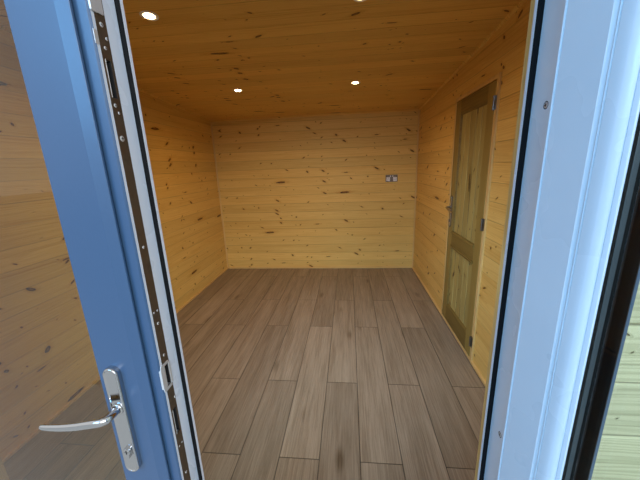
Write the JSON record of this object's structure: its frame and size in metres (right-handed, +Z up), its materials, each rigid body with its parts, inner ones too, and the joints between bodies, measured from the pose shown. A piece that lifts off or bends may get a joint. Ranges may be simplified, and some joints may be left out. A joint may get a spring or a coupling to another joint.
{
  "type": "garden office pod",
  "caption": "Timber garden room with a mono-pitch roof, pine-boarded inside, outward-opening two-tone French doors and a boarded side door.",
  "frame": {"origin": "on the ground under the middle bearer, at the middle of the room's plan", "axes": "+Z up, the French doors face -Y, +X to the right seen from in front of them"},
  "size_m": [3.01, 4.2667, 2.4988],
  "materials": {
    "treated_timber": "rough sawn, green treated",
    "floor_panel": "boarded panel",
    "laminate": "satin laminate",
    "wall_panel": "framed and insulated panel",
    "cladding": "planed, treated",
    "pine_boards": "planed, clear",
    "pine_trim": "planed, clear",
    "roof_panel": "sheet and rafters",
    "membrane": "matt sheet",
    "white_enamel": "gloss white",
    "brushed_steel": "satin",
    "two_tone_plastic": "grained grey foil outside, white inside",
    "white_plastic": "satin white",
    "aluminium": "mill",
    "hinge_steel": "zinc plated",
    "keep_steel": "zinc plated, dull",
    "glass": "clear double glazing",
    "treated_leaf": "planed, green treated"
  },
  "bodies": {
    "building": {"base_bearers": "treated_timber", "floor_deck": "floor_panel", "laminate_floor": "laminate", "front_wall_left": "wall_panel", "front_wall_right": "wall_panel", "front_wall_head": "wall_panel", "back_wall": "wall_panel", "left_wall": "wall_panel", "right_wall_front": "wall_panel", "right_wall_back": "wall_panel", "right_wall_head": "wall_panel", "cladding": "cladding", "corner_posts": "cladding", "wall_lining": "pine_boards", "ceiling_lining": "pine_boards", "floor_beads": "pine_trim", "roof_deck": "roof_panel", "roof_membrane": "membrane", "roof_fascias": "cladding", "downlights": "white_enamel", "wall_socket": "brushed_steel", "door_frame": "two_tone_plastic", "door_threshold": "aluminium", "door_reveal": "pine_trim", "fixed_hinges": "hinge_steel", "side_door_frame": "pine_trim"},
    "left_leaf": {"left_sash": "two_tone_plastic", "left_glass": "glass", "left_beads": "white_plastic", "meeting_mullion": "white_plastic", "keep_strip": "keep_steel", "left_hinges": "hinge_steel", "left_handle_plates": "brushed_steel"},
    "left_lever": {"left_lever": "brushed_steel"},
    "right_leaf": {"right_sash": "two_tone_plastic", "right_glass": "glass", "right_beads": "white_plastic", "right_lock_strip": "keep_steel", "right_hinges": "hinge_steel", "right_handle": "brushed_steel"},
    "side_leaf": {"side_leaf": "treated_leaf", "side_leaf_boards": "treated_leaf", "side_leaf_hinges": "hinge_steel", "side_handle_plates": "brushed_steel"},
    "side_lever": {"side_lever": "brushed_steel"}
  },
  "joints": [
    {"name": "left_leaf_hinge", "type": "hinge", "parent": "building", "child": "left_leaf", "pos_m": [-0.667, -1.757, 1.2], "axis": [0, 0, -1], "range_deg": [0, 160]},
    {"name": "right_leaf_hinge", "type": "hinge", "parent": "building", "child": "right_leaf", "pos_m": [0.755, -1.757, 1.2], "axis": [0, 0, 1], "range_deg": [-100, 60]},
    {"name": "left_lever_pivot", "type": "hinge", "parent": "left_leaf", "child": "left_lever", "pos_m": [-0.02825, -1.7265, 1.094], "axis": [0, -1, 0], "range_deg": [0, 40], "stiffness_Nm_per_rad": 0.6, "springref_deg": -28.65},
    {"name": "side_leaf_hinge", "type": "hinge", "parent": "building", "child": "side_leaf", "pos_m": [1.262, -0.3375, 1.1], "axis": [0, 0, 1], "range_deg": [0, 100]},
    {"name": "side_lever_pivot", "type": "hinge", "parent": "side_leaf", "child": "side_lever", "pos_m": [1.288, 0.24, 1.195], "axis": [1, 0, 0], "range_deg": [0, 40], "stiffness_Nm_per_rad": 0.6, "springref_deg": -28.65}
  ]
}
